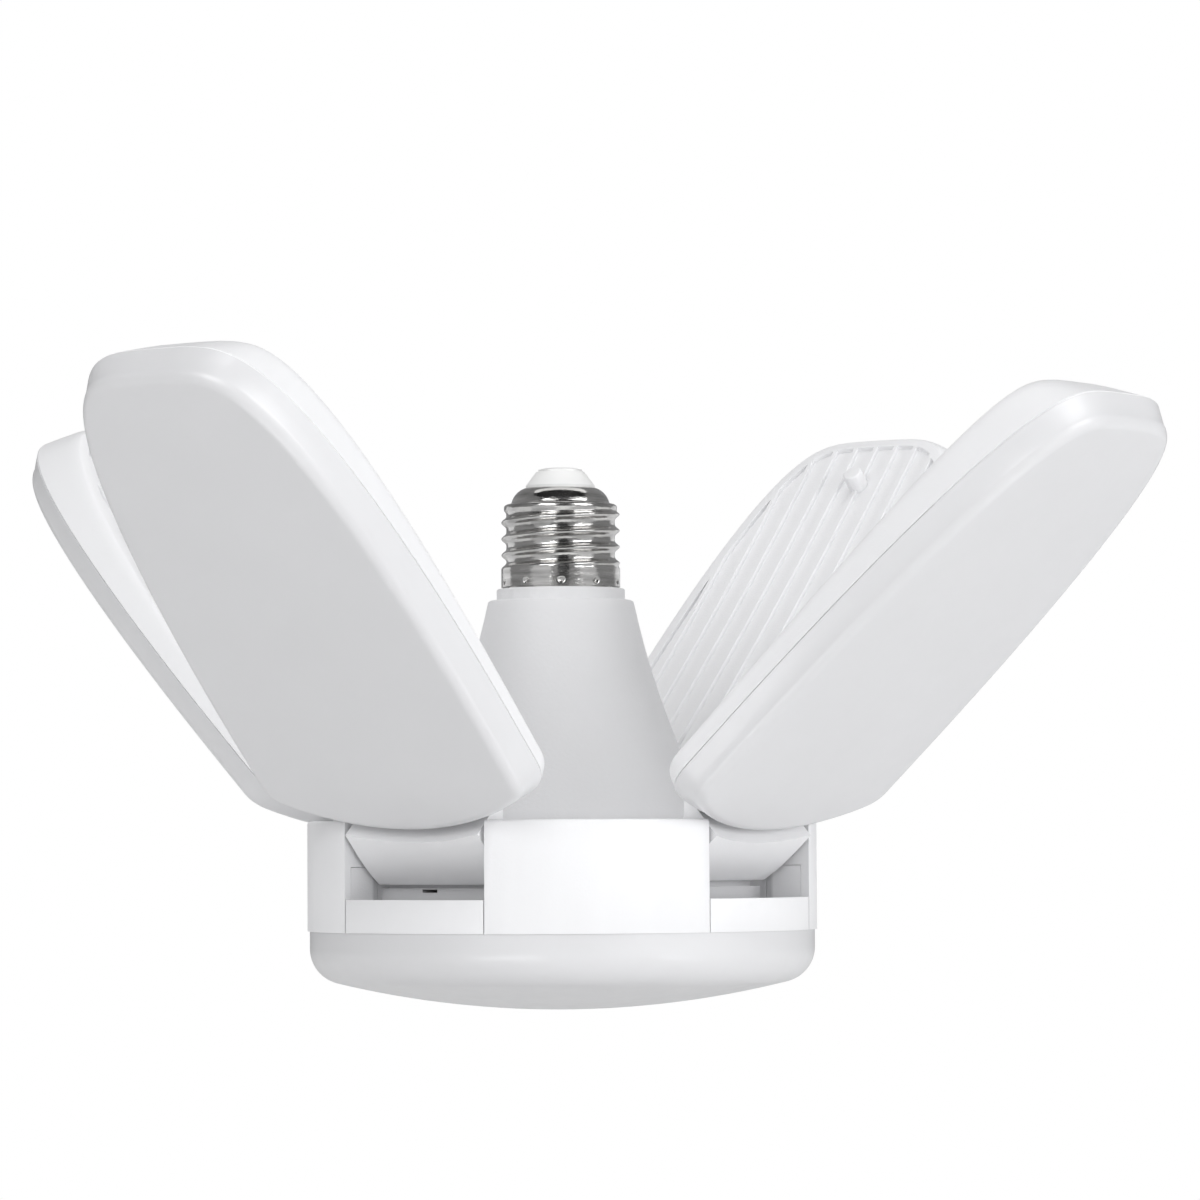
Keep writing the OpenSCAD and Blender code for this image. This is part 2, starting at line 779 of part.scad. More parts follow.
module panel_leds() {
    span_x = blade_len * 0.66;
    span_y = blade_w * 0.6;
    color("khaki") for (i = [0:led_rows - 1]) for (j = [0:led_columns - 1])
        translate([
            blade_start + blade_len * 0.2 + span_x * i / (led_rows - 1) - led_w / 2,
            span_y * (j / (led_columns - 1) - 0.5) - led_l / 2,
            board_z - led_h
        ]) cube([led_w, led_l, led_h]);
}

// Ring of the cover at a depth z below the parting plane, for a cover set in by k all round
function cover_ring(k, z) =
    let (side = cover_d - cover_edge_r)
    let (drop = max(0, min(1, (z - side) / (cover_edge_r - k))))
    let (edge_in = (cover_edge_r - k) * (1 - sqrt(1 - drop * drop)))
    flat_ring(k + cover_draft * min(z, side) + edge_in, shell_z - z);

edge_shares = [1, 0.94, 0.77, 0.5, 0];

module panel_diffuser() {
    side = cover_d - cover_edge_r;
    inner_edge = cover_edge_r - diffuser_wall;
    color("gainsboro") difference() {
        union() {
            loft([for (s = edge_shares) cover_ring(0, side + cover_edge_r * s), cover_ring(0, 0)]);
            translate([0, 0, shell_z - tiny]) linear_extrude(height = 0.7 + tiny)
                polygon(inset_outline(tongue_in));
        }
        loft([
            cover_ring(diffuser_wall, side + inner_edge), cover_ring(diffuser_wall, side),
            flat_ring(tongue_in + tongue_w, shell_z - 0.2)
        ]);
        translate([0, 0, shell_z - 0.3]) linear_extrude(height = 2)
            polygon(inset_outline(tongue_in + tongue_w));
    }
}

module panel_screws() {
    color("gray") at_panel_screws() translate([0, 0, board_z]) screw(panel_board_t + screw_bite);
}

module hinge_pin() {
    color("gray") rotate([90, 0, 0]) cylinder(r = pin_r, h = recess_w + 2 * hub_wall, center = true);
}

module hinge_washers() {
    color("gray") for (s = [-1, 1])
        translate([0, s * (arm_w + washer_t) / 2, 0]) rotate([90, 0, 0]) difference() {
            cylinder(r = washer_r, h = washer_t, center = true);
            cylinder(r = pin_r + 0.1, h = washer_t + 1, center = true);
        }
}

module front_panel_shell() { color("white") front_place() panel_shell(); }
module front_panel_led_board() { front_place() panel_led_board(); }
module front_panel_leds() { front_place() panel_leds(); }
module front_panel_diffuser() { front_place() panel_diffuser(); }
module front_panel_screws() { front_place() panel_screws(); }
module front_hinge_pin() { front_place() hinge_pin(); }
module front_hinge_washers() { front_place() hinge_washers(); }
module right_panel_shell() { color("white") right_place() panel_shell(); }
module right_panel_led_board() { right_place() panel_led_board(); }
module right_panel_leds() { right_place() panel_leds(); }
module right_panel_diffuser() { right_place() panel_diffuser(); }
module right_panel_screws() { right_place() panel_screws(); }
module right_hinge_pin() { right_place() hinge_pin(); }
module right_hinge_washers() { right_place() hinge_washers(); }
module back_panel_shell() { color("white") back_place() panel_shell(); }
module back_panel_led_board() { back_place() panel_led_board(); }
module back_panel_leds() { back_place() panel_leds(); }
module back_panel_diffuser() { back_place() panel_diffuser(); }
module back_panel_screws() { back_place() panel_screws(); }
module back_hinge_pin() { back_place() hinge_pin(); }
module back_hinge_washers() { back_place() hinge_washers(); }
module left_panel_shell() { color("white") left_place() panel_shell(); }
module left_panel_led_board() { left_place() panel_led_board(); }
module left_panel_leds() { left_place() panel_leds(); }
module left_panel_diffuser() { left_place() panel_diffuser(); }
module left_panel_screws() { left_place() panel_screws(); }
module left_hinge_pin() { left_place() hinge_pin(); }
module left_hinge_washers() { left_place() hinge_washers(); }

contact_button();
cap_insulator();
screw_shell();
neck_housing();
driver_board();
filter_capacitor();
transformer();
neck_screws();
hub_housing();
base_ring();
base_screws();
main_led_board();
main_leds();
main_diffuser();
front_panel_shell();
front_panel_led_board();
front_panel_leds();
front_panel_diffuser();
front_panel_screws();
front_hinge_pin();
front_hinge_washers();
right_panel_shell();
right_panel_led_board();
right_panel_leds();
right_panel_diffuser();
right_panel_screws();
right_hinge_pin();
right_hinge_washers();
back_panel_shell();
back_panel_led_board();
back_panel_leds();
back_panel_diffuser();
back_panel_screws();
back_hinge_pin();
back_hinge_washers();
left_panel_shell();
left_panel_led_board();
left_panel_leds();
left_panel_diffuser();
left_panel_screws();
left_hinge_pin();
left_hinge_washers();
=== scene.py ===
import json
import math

import bmesh
import bpy
from mathutils import Matrix, Vector


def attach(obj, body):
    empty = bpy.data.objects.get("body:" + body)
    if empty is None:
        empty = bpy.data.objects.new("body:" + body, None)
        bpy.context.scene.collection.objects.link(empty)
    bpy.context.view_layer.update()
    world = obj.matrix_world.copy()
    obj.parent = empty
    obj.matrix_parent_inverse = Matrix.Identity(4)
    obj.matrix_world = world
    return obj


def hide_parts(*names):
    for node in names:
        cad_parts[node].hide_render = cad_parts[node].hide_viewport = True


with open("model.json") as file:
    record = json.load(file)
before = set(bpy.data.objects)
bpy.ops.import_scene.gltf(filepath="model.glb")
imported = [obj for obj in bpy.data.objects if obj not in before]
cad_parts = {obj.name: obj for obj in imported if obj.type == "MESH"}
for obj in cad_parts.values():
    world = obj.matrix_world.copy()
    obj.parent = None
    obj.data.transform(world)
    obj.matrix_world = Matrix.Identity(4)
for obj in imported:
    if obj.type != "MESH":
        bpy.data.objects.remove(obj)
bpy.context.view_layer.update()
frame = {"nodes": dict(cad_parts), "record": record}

MM = 0.001

# ---- Sizes of the part, in millimetres ----

GAP = 0.3
HINGE_R, HINGE_Z, PIN_R = 48.0, -57.8, 1.25
HUB_R, HUB_LOW_Z, HUB_WALL = 56.6, -75.8, 2.2
# Azimuth of each panel and its fold up from flat, in degrees
PANELS = {"front": (-90, 46.6), "right": (0, 41.7), "back": (90, 43.2), "left": (180, 43.9)}

# Outline of a panel: an arc at the near end, round corners, a superellipse from TAPER_FROM on
BLADE_LEN, HALF_W, BLADE_START = 130.5, 37.0, 4.6
NEAR_ARC_R, NEAR_CORNER, TAPER_FROM = 70.0, 5.0, 29.0

# Shell: where it starts, its depth at both ends, draft, the far end's rake and the round edge
SHELL_Z, SHELL_NEAR_D, SHELL_FAR_D, SHELL_DRAFT, SHELL_WALL = 5.0, 4.2, 11.6, 0.28, 1.6
FAR_RAKE, SHELL_EDGE, EDGE_FROM, LEDGE_Z = 4.0, 0.8, 0.72, 7.0
COVER_D, COVER_DRAFT, COVER_EDGE_R, COVER_WALL = 7.0, 0.4, 2.6, 1.5
# Groove where shell and cover meet, and the cover's tongue inside the shell
SEAM_IN, SEAM_SHARE, SEAM_H = 0.35, 0.025, 0.14
TONGUE_GAP, TONGUE_W, TONGUE_H = 0.15, 0.9, 0.7

# Fins: the slots between them are narrower at the foot and have a chamfered rim
FIN_COUNT, FIN_PITCH, FIN_W, FIN_H, FIN_MARGIN = 11, 5.8, 1.2, 0.9, 3.0
SLOT_FOOT_IN, SLOT_RIM_OUT, SLOT_CHAMFER, SLOT_END_IN, SLOT_MIN_W = 0.12, 0.15, 0.2, 0.25, 0.5

# Pegs and screws, with their places as shares of the length and of half the width
PEG_R, PEG_H, PEG_RIM, PEG_PLACES = 2.4, 3.6, 0.5, (0.17, 0.83)
SCREW_R = 1.2
SCREW_PLACES = ((0.14, 0.55), (0.14, -0.55), (0.48, 0.34), (0.48, -0.34), (0.93, 0.0))

# Hinge arm and its flap
ARM_W, ARM_UNDER, ARM_TOP, ARM_SHARE = 36.0, 2.4, 6.4, 0.9
FLAP_LEN, FLAP_TIP_R, UNDER_BEND, UNDER_FROM = 9.8, 1.1, 0.0095, 1.5


# ---- Mesh helpers ----

def mesh_of(name, verts, faces, scale=1.0):
    mesh = bpy.data.meshes.new(name)
    mesh.from_pydata([tuple(c * scale for c in v) for v in verts], [], faces)
    mesh.validate()
    bm = bmesh.new()
    bm.from_mesh(mesh)
    bmesh.ops.remove_doubles(bm, verts=bm.verts, dist=1e-6)
    bmesh.ops.recalc_face_normals(bm, faces=bm.faces)
    bm.to_mesh(mesh)
    bm.free()
    return mesh


def object_of(name, mesh):
    obj = bpy.data.objects.new(name, mesh)
    bpy.context.scene.collection.objects.link(obj)
    return obj


def combine(mesh, other, operation):
    """Boolean of two closed meshes."""
    a, b = object_of("tmp_a", mesh), object_of("tmp_b", other)
    mod = a.modifiers.new("cut", "BOOLEAN")
    mod.operation, mod.object, mod.solver = operation, b, "MANIFOLD"
    bpy.context.view_layer.update()
    dg = bpy.context.evaluated_depsgraph_get()
    result = bpy.data.meshes.new_from_object(a.evaluated_get(dg))
    bpy.data.objects.remove(a)
    bpy.data.objects.remove(b)
    return result


def join_meshes(name, meshes):
    bm = bmesh.new()
    for mesh in meshes:
        bm.from_mesh(mesh)
    out = bpy.data.meshes.new(name)
    bm.to_mesh(out)
    bm.free()
    return out


def smooth(mesh, angle=35.0):
    for p in mesh.polygons:
        p.use_smooth = True
    mesh.set_sharp_from_angle(angle=math.radians(angle))


def faces_around(steps, n):
    """Quads between neighbouring closed profiles of n points, all the way round."""
    faces = []
    for i in range(steps):
        j = (i + 1) % steps
        for k in range(n):
            m = (k + 1) % n
            faces.append((i * n + k, j * n + k, j * n + m, i * n + m))
    return faces


def lathe(name, profile, steps=128):
    """Closed surface of revolution about z from a closed (r, z) profile."""
    verts = []
    for i in range(steps):
        a = 2 * math.pi * i / steps
        verts += [(r * math.cos(a), r * math.sin(a), z) for r, z in profile]
    return mesh_of(name, verts, faces_around(steps, len(profile)))


def loft(name, rings):
    """Closed solid through rings that are mirrored about y = 0, capped by strips across."""
    n = len(rings[0])
    verts = [p for ring in rings for p in ring]
    faces = []
    for r in range(len(rings) - 1):
        for i in range(n):
            j = (i + 1) % n
            faces.append((r * n + i, r * n + j, (r + 1) * n + j, (r + 1) * n + i))
    for base, flip in ((0, True), ((len(rings) - 1) * n, False)):
        for i in range(n // 2):
            strip = []
            for k in (i, i + 1, n - i - 1, (n - i) % n):
                if base + k not in strip:
                    strip.append(base + k)
            faces.append(tuple(reversed(strip)) if flip else tuple(strip))
    return mesh_of(name, verts, faces)


def prism(name, points, z0, z1):
    n = len(points)
    verts = [(x, y, z0) for x, y in points] + [(x, y, z1) for x, y in points]
    faces = [(i, (i + 1) % n, (i + 1) % n + n, i + n) for i in range(n)]
    faces += [tuple(range(n))[::-1], tuple(range(n, 2 * n))]
    return mesh_of(name, verts, faces)


# ---- Outline of a panel ----

def near_x(y):
    return NEAR_ARC_R - math.sqrt(NEAR_ARC_R ** 2 - y * y)


def bezier(a, b, c, t):
    return tuple(p * (1 - t) ** 2 + q * 2 * t * (1 - t) + r * t * t for p, q, r in zip(a, b, c))


def half_outline(arc=18, corner=12, side=6, far=44):
    """Half of the outline, from the middle of the near end to the middle of the far end."""
    points = []
    arc_end = HALF_W - NEAR_CORNER
    for i in range(arc + 1):
        y = arc_end * i / arc
        points.append((near_x(y), y))
    a, b = (near_x(arc_end), arc_end), (near_x(HALF_W), HALF_W)
    c = (b[0] + NEAR_CORNER, HALF_W)
    for i in range(1, corner + 1):
        points.append(bezier(a, b, c, i / corner))
    for i in range(1, side + 1):
        points.append((c[0] + (TAPER_FROM - c[0]) * i / side, HALF_W))
    for i in range(1, far + 1):
        w = math.radians(90 * (1 - (1 - i / far) ** 2))
        points.append((
            TAPER_FROM + (BLADE_LEN - TAPER_FROM) * math.sin(w),
            HALF_W * math.sqrt(max(0, math.cos(w))),
        ))
    return points


HALF = half_outline()
OUTLINE = HALF + [(x, -y) for x, y in HALF[-2:0:-1]]
COUNT = len(OUTLINE)


def outward(i):
    """Outward normal of the outline at its point i."""
    a, b = OUTLINE[i - 1], OUTLINE[(i + 1) % COUNT]
    dx, dy = b[0] - a[0], b[1] - a[1]
    d = math.hypot(dx, dy)
    return -dy / d, dx / d


NORMALS = [outward(i) for i in range(COUNT)]


def along(x):
    return max(0.0, min(1.0, x / BLADE_LEN))


def shell_depth(x):
    return SHELL_NEAR_D + (SHELL_FAR_D - SHELL_NEAR_D) * along(x - BLADE_START) ** 2


def flat_ring(k, z):
    return [(x - n[0] * k + BLADE_START, y - n[1] * k, z) for (x, y), n in zip(OUTLINE, NORMALS)]


def back_ring(share, k):
    """Ring on the shell at a share of its depth, set in by its draft and by k."""
    ring = []
    for (ox, oy), n in zip(OUTLINE, NORMALS):
        inset = SHELL_DRAFT * share * shell_depth(ox + BLADE_START) + k
        x, y = ox - n[0] * inset, oy - n[1] * inset
        x += BLADE_START - FAR_RAKE * share * max(0, 2 * along(x) - 1)
        ring.append((x, y, SHELL_Z + share * shell_depth(x)))
    return ring


def cover_ring(k, z):
    """Ring on the cover at a depth z below the shell, set in by its draft, its edge and by k."""
    side = COVER_D - COVER_EDGE_R
    drop = max(0.0, min(1.0, (z - side) / (COVER_EDGE_R - k)))
    edge_in = (COVER_EDGE_R - k) * (1 - math.sqrt(1 - drop * drop))
    return flat_ring(k + COVER_DRAFT * min(z, side) + edge_in, SHELL_Z - z)


# ---- Panel pieces, made once in the panel's own frame ----

def slab(name, rows, levels):
    """Closed solid over a grid of (x, y) rows; each level is (grow, z function)."""
    nk, nu = len(rows), len(rows[0])
    mid_y = (rows[0][0][1] + rows[-1][0][1]) / 2
    verts, faces = [], []
    for grow, height in levels:
        for row in rows:
            sy = 0 if len(rows) < 2 else grow * (1 if row[0][1] > mid_y else -1)
            mid_x = (row[0][0] + row[-1][0]) / 2
            half = (row[-1][0] - row[0][0]) / 2
            for x, y in row:
                gx = x + grow * (x - mid_x) / max(half, 0.01)
                edge = row is rows[0] or row is rows[-1]
                verts.append((gx, y + (sy if edge else 0), height(gx)))
    size = nk * nu

    def at(level, k, u):
        return level * size + k * nu + u

    for k in range(nk - 1):
        for u in range(nu - 1):
            faces.append((at(0, k, u), at(0, k + 1, u), at(0, k + 1, u + 1), at(0, k, u + 1)))
            top = len(levels) - 1
            faces.append((at(top, k, u), at(top, k, u + 1), at(top, k + 1, u + 1), at(top, k + 1, u)))
    border = [(0, u) for u in range(nu)] + [(k, nu - 1) for k in range(1, nk)]
    border += [(nk - 1, u) for u in range(nu - 2, -1, -1)] + [(k, 0) for k in range(nk - 2, 0, -1)]
    for level in range(len(levels) - 1):
        for i, (k, u) in enumerate(border):
            m, v = border[(i + 1) % len(border)]
            faces.append((at(level, k, u), at(level, m, v), at(level + 1, m, v), at(level + 1, k, u)))
    return mesh_of(name, verts, faces)


def fin_slots():
    """Cutters for the grooves between the fins, with chamfered rims."""
    field = back_ring(1, FIN_MARGIN)[:len(HALF)]
    widest = max(range(len(field)), key=lambda i: field[i][1])
    near, far = field[:widest + 1], field[widest:][::-1]

    def reach(side, y):
        for a, b in zip(side, side[1:]):
            if a[1] <= y <= b[1]:
                t = (y - a[1]) / max(b[1] - a[1], 1e-9)
                return a[0] + (b[0] - a[0]) * t
        return side[-1][0]

    def back_z(x):
        return SHELL_Z + shell_depth(x)

    limit = field[widest][1] - SLOT_END_IN
    edges = [-limit]
    for i in range(FIN_COUNT):
        y = (i - (FIN_COUNT - 1) / 2) * FIN_PITCH
        edges += [y - FIN_W / 2, y + FIN_W / 2]
    edges.append(limit)
    levels = [
        (-SLOT_FOOT_IN, lambda x: back_z(x) - FIN_H),
        (0.0, lambda x: back_z(x) - SLOT_CHAMFER),
        (SLOT_RIM_OUT, back_z),
        (SLOT_RIM_OUT, lambda x: back_z(x) + 2.0),
    ]
    slots = []
    for lo, hi in zip(edges[::2], edges[1::2]):
        if hi - lo < SLOT_MIN_W:
            continue
        rows = []
        for k in range(5):
            y = lo + (hi - lo) * k / 4
            x0, x1 = reach(near, abs(y)), reach(far, abs(y))
            rows.append([(x0 + (x1 - x0) * u / 24, y) for u in range(25)])
        slots.append(slab("slot", rows, levels))
    return join_meshes("slots", slots)


def peg(x):
    foot, top = SHELL_Z + 3, SHELL_Z + shell_depth(x) + PEG_H
    profile = [(0, foot), (PEG_R, foot), (PEG_R, top - PEG_RIM)]
    for a in (math.radians(d) for d in (20, 45, 70, 90)):
        profile.append((PEG_R - PEG_RIM * (1 - math.cos(a)), top - PEG_RIM * (1 - math.sin(a))))
    profile.append((0, top))
    mesh = lathe("peg", profile, 40)
    mesh.transform(Matrix.Translation((x, 0, 0)))
    return mesh


def under_z(x):
    """Height of the arm's underside: flat in front of the pin, bent up behind it."""
    return -ARM_UNDER + UNDER_BEND * max(0.0, UNDER_FROM - x) ** 2


def arm():
    """Hinge arm: bent underside, round tip of the flap, flat top, running into the shell."""
    reach = BLADE_START + near_x(ARM_W / 2) + 4
    top_z = SHELL_Z + SHELL_NEAR_D * ARM_SHARE
    tip_x = FLAP_TIP_R - FLAP_LEN
    tip_z = under_z(tip_x) + FLAP_TIP_R
    under = [UNDER_FROM + (tip_x - UNDER_FROM) * i / 14 for i in range(15)]
    side = [(reach, -ARM_UNDER)]
    side += [(x, under_z(x)) for x in under]
    side += [(tip_x + FLAP_TIP_R * math.cos(a), tip_z + FLAP_TIP_R * math.sin(a))
             for a in (math.radians(d) for d in range(-110, -260, -20))]
    side += [(-4.4, 1.7), (-3.7, 2.6), (-3.2, 4.4), (-1.2, ARM_TOP - 0.3), (0, ARM_TOP),
             (BLADE_START - 1.6, ARM_TOP), (BLADE_START + 0.6, top_z), (reach, top_z)]
    body = prism("arm", side, -ARM_W / 2, ARM_W / 2)
    body.transform(Matrix.Rotation(math.pi / 2, 4, "X"))
    cover = prism("cover", [p[:2] for p in flat_ring(-GAP, 0)], -3 * COVER_D, SHELL_Z)
    body = combine(body, cover, "DIFFERENCE")
    bore_r = PIN_R + 0.02
    bore = lathe("bore", [(0, -ARM_W), (bore_r, -ARM_W), (bore_r, ARM_W), (0, ARM_W)], 48)
    bore.transform(Matrix.Rotation(math.pi / 2, 4, "X"))
    return combine(body, bore, "DIFFERENCE")


def panel_screws(radius, z0, z1):
    cylinders = []
    for a, b in SCREW_PLACES:
        mesh = lathe("screw", [(0, z0), (radius, z0), (radius, z1), (0, z1)], 32)
        mesh.transform(Matrix.Translation((BLADE_START + BLADE_LEN * a, HALF_W * b, 0)))
        cylinders.append(mesh)
    return join_meshes("screws", cylinders)


def shell_mesh():
    rings = [back_ring(0, SEAM_IN)]
    rings += [back_ring(share, 0) for share in (SEAM_SHARE, 0.2, 0.4, 0.6, EDGE_FROM)]
    for a in (math.radians(d) for d in (20, 40, 60, 75, 90)):
        share = EDGE_FROM + (1 - EDGE_FROM) * math.sin(a)
        rings.append(back_ring(share, SHELL_EDGE * (1 - math.cos(a))))
    body = loft("shell", rings)
    body = combine(body, fin_slots(), "DIFFERENCE")
    body = combine(body, arm(), "UNION")
    for share in PEG_PLACES:
        body = combine(body, peg(BLADE_START + BLADE_LEN * share), "UNION")
    tray = prism("tray", [p[:2] for p in flat_ring(SHELL_WALL, 0)], SHELL_Z - 0.5, LEDGE_Z)
    body = combine(body, tray, "DIFFERENCE")
    return combine(body, panel_screws(SCREW_R, SHELL_Z - 1, LEDGE_Z + 1), "DIFFERENCE")


def cover_mesh():
    side = COVER_D - COVER_EDGE_R
    rings = [cover_ring(0, side + COVER_EDGE_R * math.sin(math.radians(d)))
             for d in range(90, -1, -10)]
    rings += [cover_ring(0, side / 2), cover_ring(0, SEAM_H), cover_ring(SEAM_IN, 0)]
    outer = loft("cover", rings)
    tongue_in = SHELL_WALL + TONGUE_GAP
    tongue_ring = [p[:2] for p in flat_ring(tongue_in, 0)]
    outer = combine(outer, prism("tongue", tongue_ring, SHELL_Z - 0.5, SHELL_Z + TONGUE_H), "UNION")
    inner_edge = COVER_EDGE_R - COVER_WALL
    hollow = loft("hollow", [
        cover_ring(COVER_WALL, side + inner_edge), cover_ring(COVER_WALL, side),
        flat_ring(tongue_in + TONGUE_W, SHELL_Z - 0.2), flat_ring(tongue_in + TONGUE_W, SHELL_Z + 1.5),
    ])
    return combine(outer, hollow, "DIFFERENCE")


def place_of(side):
    azimuth, fold = PANELS[side]
    return (
        Matrix.Rotation(math.radians(azimuth), 4, "Z")
        @ Matrix.Translation((HINGE_R, 0, HINGE_Z))
        @ Matrix.Rotation(math.radians(-fold), 4, "Y")
    )


def add_piece(name, mesh, body, node, slot, angle=35.0):
    smooth(mesh, angle)
    mesh.materials.clear()
    mesh.materials.append(MATERIALS[slot])
    obj = object_of(name, mesh)
    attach(obj, body)
    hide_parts(node)
    return obj


# ---- Screw cap and dome ----

SKIRT_R, SKIRT_H, RIM_H, RIM_IN = 13.25, 4.8, 0.4, 1.6
THREAD_R, THREAD_DEPTH, THREAD_PITCH, THREAD_TURNS, THREAD_PHASE = 13.2, 1.1, 3.63, 3.6, 0.165
# How sharp the thread's crests are, and how far it blends into the skirt and the bead
CREST_POWER, BLEND, BLEND_DOWN = 2.2, 1.2, 0.5
CAP_BORE_R, CAP_SHOULDER_H, INSULATOR_R, CAP_LIP = 11.5, 4.6, 7.7, 0.35
DIMPLE_COUNT, DIMPLE_TURN, DIMPLE_Z, DIMPLE_R, DIMPLE_DEPTH = 10, 19.2, 1.5, 0.7, 0.5
# Bead above the thread, ledge above it, and the shoulder as part ellipse, part straight line
BEAD_R, LEDGE_TOP, FOOT_R, FOOT_H, ROUND_SHARE = 12.6, 19.1, 10.95, 0.12, 0.62
THREAD_TOP = SKIRT_H + THREAD_PITCH * THREAD_TURNS
CAP_TOP = THREAD_TOP + CAP_SHOULDER_H

DOME_R, DOME_DEPTH, DOME_WALL, DOME_CORNER_R = 56.1, 17.6, 1.5, 7.9
CROWN_R, CROWN_LEAN = 210.0, math.radians(13.4)
DOME_TONGUE_W, DOME_TONGUE_H = 1.2, 1.5


def ease(t):
    t = min(1.0, t)
    return t * t * (3 - 2 * t)


def cap_radius(z, angle):
    """Outer radius of the cap shell at a height and an angle."""
    if z <= SKIRT_H - BLEND_DOWN:
        return SKIRT_R
    turn = (z - SKIRT_H) / THREAD_PITCH - angle / (2 * math.pi) - THREAD_PHASE
    wave = 0.5 + 0.5 * math.cos(2 * math.pi * turn)
    thread = THREAD_R - THREAD_DEPTH + THREAD_DEPTH * wave ** CREST_POWER
    if z < SKIRT_H + BLEND:
        share = ease((z - SKIRT_H + BLEND_DOWN) / (BLEND + BLEND_DOWN))
        return SKIRT_R + (thread - SKIRT_R) * share
    if z > THREAD_TOP - BLEND:
        return thread + (BEAD_R - thread) * ease((z - THREAD_TOP + BLEND) / BLEND)
    return thread


def dimple_depth(z, angle):
    """Depth of the dimples that are punched round the skirt."""
    depth = 0.0
    for i in range(DIMPLE_COUNT if abs(z - DIMPLE_Z) < DIMPLE_R else 0):
        centre = math.radians(360 * i / DIMPLE_COUNT + DIMPLE_TURN)
        away = abs((angle - centre + math.pi) % (2 * math.pi) - math.pi) * SKIRT_R
        share = math.hypot(away, z - DIMPLE_Z) / DIMPLE_R
        if share < 1:
            depth += DIMPLE_DEPTH * (1 - share ** 2)
    return depth


def cap_mesh(steps=300):
    levels = [0.0, RIM_H - 0.02]
    levels += [RIM_H + (SKIRT_H - RIM_H) * i / 30 for i in range(30)]
    levels += [SKIRT_H + (THREAD_TOP - SKIRT_H) * i / 110 for i in range(111)]
    lip_r, foot_z = INSULATOR_R + CAP_LIP, LEDGE_TOP + FOOT_H
    top = [
        (BEAD_R, LEDGE_TOP - 0.8), (BEAD_R - 0.12, LEDGE_TOP - 0.5),
        (BEAD_R - 0.45, LEDGE_TOP - 0.28), (FOOT_R + 0.3, LEDGE_TOP - 0.06),
        (FOOT_R + 0.04, LEDGE_TOP), (FOOT_R, foot_z),
    ]
    for t in (i / 16 for i in range(1, 17)):
        a = math.radians(90 * t)
        out = ROUND_SHARE * math.cos(a) + (1 - ROUND_SHARE) * (1 - t)
        rise = ROUND_SHARE * math.sin(a) + (1 - ROUND_SHARE) * t
        top.append((lip_r + (FOOT_R - lip_r) * out, foot_z + (CAP_TOP - foot_z) * rise))
    hole_r = INSULATOR_R + 0.02
    inside = [
        (hole_r, CAP_TOP), (hole_r, CAP_TOP - 1), (FOOT_R - 0.8, LEDGE_TOP - 0.3),
        (CAP_BORE_R, THREAD_TOP - 1.2), (CAP_BORE_R, 0),
    ]
    verts = []
    for i in range(steps):
        a = 2 * math.pi * i / steps
        outside = [(cap_radius(z, a) - dimple_depth(z, a) if z >= RIM_H else SKIRT_R - RIM_IN, z)
                   for z in levels]
        verts += [(r * math.cos(a), r * math.sin(a), z) for r, z in outside + top + inside]
    return mesh_of("cap", verts, faces_around(steps, len(levels) + len(top) + len(inside)))


def dome_curve(k):
    """Half profile of the dome, set in by k: the round corner, then the shallow crown."""
    corner_r, crown_r = DOME_CORNER_R - k, CROWN_R - k
    centre_r = DOME_R - DOME_CORNER_R
    end_r = centre_r + corner_r * math.sin(CROWN_LEAN)

    def crown_z(r):
        return HUB_LOW_Z - DOME_DEPTH + k + crown_r - math.sqrt(crown_r ** 2 - r * r)

    centre_z = crown_z(end_r) + corner_r * math.cos(CROWN_LEAN)
    points = []
    for i in range(17):
        w = (math.pi / 2 - CROWN_LEAN) * i / 16
        points.append((centre_r + corner_r * math.cos(w), centre_z - corner_r * math.sin(w)))
    for i in range(15, -1, -1):
        points.append((end_r * i / 16, crown_z(end_r * i / 16)))
    return points


def dome_profile():
    outer_r = HUB_R - HUB_WALL - GAP
    inner_r = outer_r - DOME_TONGUE_W
    tongue_z = HUB_LOW_Z + DOME_TONGUE_H
    return [
        (inner_r, tongue_z), (outer_r, tongue_z), (outer_r, HUB_LOW_Z), (DOME_R, HUB_LOW_Z),
        *dome_curve(0), *reversed(dome_curve(DOME_WALL)),
        (DOME_R - DOME_WALL, HUB_LOW_Z - 2), (inner_r, HUB_LOW_Z - 2),
    ]


# ---- Materials ----

# Noise scales: slow clouds in the colour, finer ones in the roughness
CLOUD_SCALE, ROUGH_SCALE, ROUGH_DOWN, ROUGH_UP, COAT_ROUGHNESS = 35, 220, 0.04, 0.06, 0.12
NICKEL_DARK, NICKEL_LIGHT, NICKEL_ROUGH = (0.46, 0.455, 0.445), (0.82, 0.81, 0.79), (0.09, 0.22)
# Painted shade inside the hub's recesses: the housing's colour is darker within this radius and below
# this height
RECESS_R, RECESS_TOP, RECESS_EDGE, RECESS_SHADE_COLOUR = 0.0475, -0.0575, 0.0004, (0.57, 0.57, 0.58)
